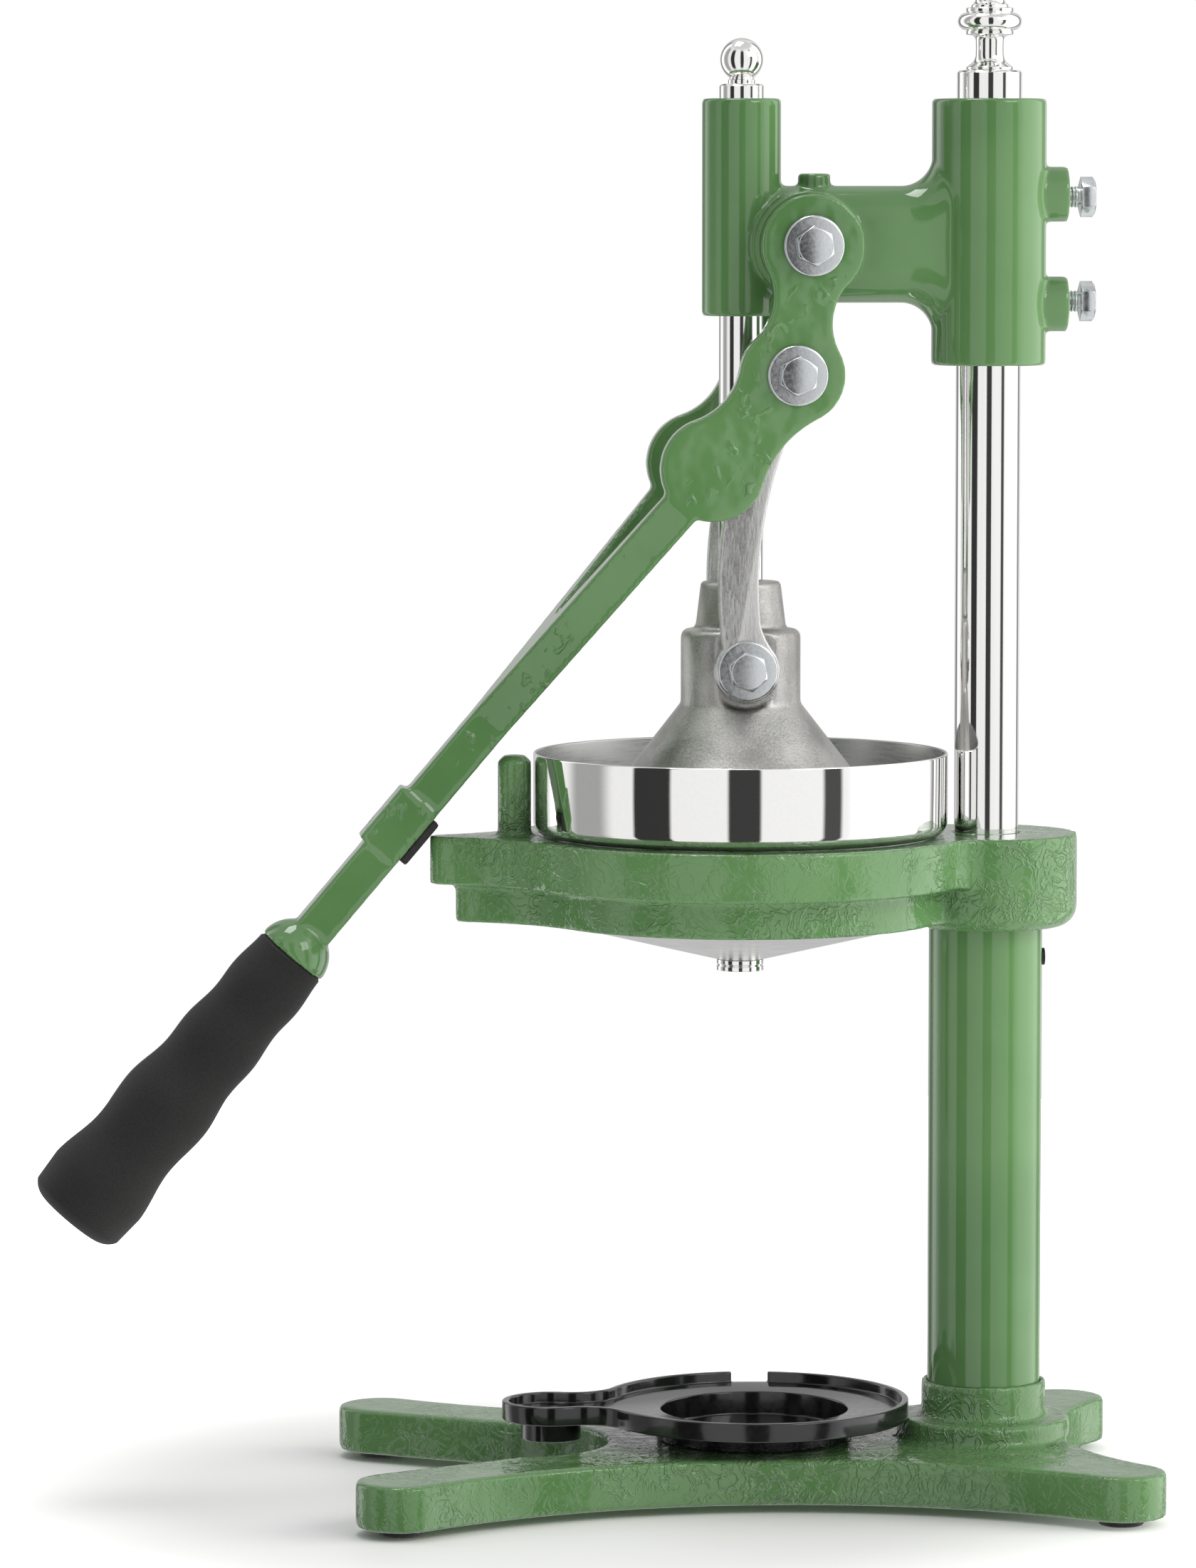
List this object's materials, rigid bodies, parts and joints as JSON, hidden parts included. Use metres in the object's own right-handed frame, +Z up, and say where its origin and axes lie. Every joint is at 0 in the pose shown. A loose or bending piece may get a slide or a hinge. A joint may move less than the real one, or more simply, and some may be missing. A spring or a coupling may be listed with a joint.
{
  "type": "lever citrus juice press",
  "caption": "Cast stand with a column; a forked hand lever and side links slide a bell down over a reamer, and juice runs from a spout.",
  "frame": {"origin": "middle of the footprint box, on the table under the rubber feet", "axes": "+Z up; +X from the hand grip towards the column; +Y away from the side that faces the user in the picture"},
  "size_m": [0.4118, 0.191, 0.5799],
  "materials": {
    "green_enamel": "gloss enamel",
    "polished_steel": "mirror polished",
    "ground_steel": "ground",
    "zinc_plate": "zinc plated",
    "cast_aluminium": "blasted",
    "bronze": "turned",
    "black_rubber": "matt",
    "black_grip": "satin",
    "black_plastic": "gloss",
    "black_oxide": "black oxide"
  },
  "bodies": {
    "stand": {"base": "green_enamel", "base_feet": "black_rubber", "base_washer": "zinc_plate", "base_nut": "zinc_plate", "column": "polished_steel", "stand_tube": "green_enamel", "tube_set_screw": "black_oxide", "bowl_carrier": "green_enamel", "press_cup": "polished_steel", "strainer": "polished_steel", "reamer": "polished_steel", "funnel": "polished_steel", "outlet_spout": "polished_steel", "column_finial": "polished_steel"},
    "head": {"head": "green_enamel", "guide_bushes": "bronze", "clamp_bolts": "zinc_plate", "pivot_axle": "polished_steel", "pivot_washers": "zinc_plate", "pivot_bolts": "zinc_plate"},
    "lever": {"lever": "green_enamel", "lever_bumper": "black_rubber", "grip": "black_grip", "link_top_washers": "zinc_plate", "link_top_bolts": "zinc_plate"},
    "press": {"press_bell": "cast_aluminium", "guide_rod": "polished_steel", "rod_ball": "polished_steel", "link_bottom_washers": "zinc_plate", "link_bottom_bolts": "zinc_plate"},
    "links": {"link_front": "ground_steel", "link_rear": "ground_steel"},
    "glass_ring": {"glass_ring": "black_plastic"}
  },
  "joints": [
    {"name": "head_height", "type": "slide", "parent": "stand", "child": "head", "axis": [0, 0, 1], "range_m": [0, 0.008]},
    {"name": "lever_pivot", "type": "hinge", "parent": "head", "child": "lever", "pos_m": [0.07969, 0, 0.4663], "axis": [0, 1, 0], "range_deg": [0, 105]},
    {"name": "press_slide", "type": "slide", "parent": "head", "child": "press", "axis": [0, 0, 1], "range_m": [0, 0.066]},
    {"name": "link_swing", "type": "hinge", "parent": "press", "child": "links", "pos_m": [0.05639, 0, 0.3099], "axis": [0, 1, 0], "range_deg": [-20.1, 0]},
    {"name": "ring_lift", "type": "slide", "parent": "stand", "child": "glass_ring", "axis": [0, 0, 1], "range_m": [0, 0.12]}
  ],
  "couplings": [
    {"joint": "press_slide", "follows": "lever_pivot", "m_per_rad": 0.035953},
    {"joint": "link_swing", "follows": "lever_pivot", "ratio": -0.19122}
  ]
}
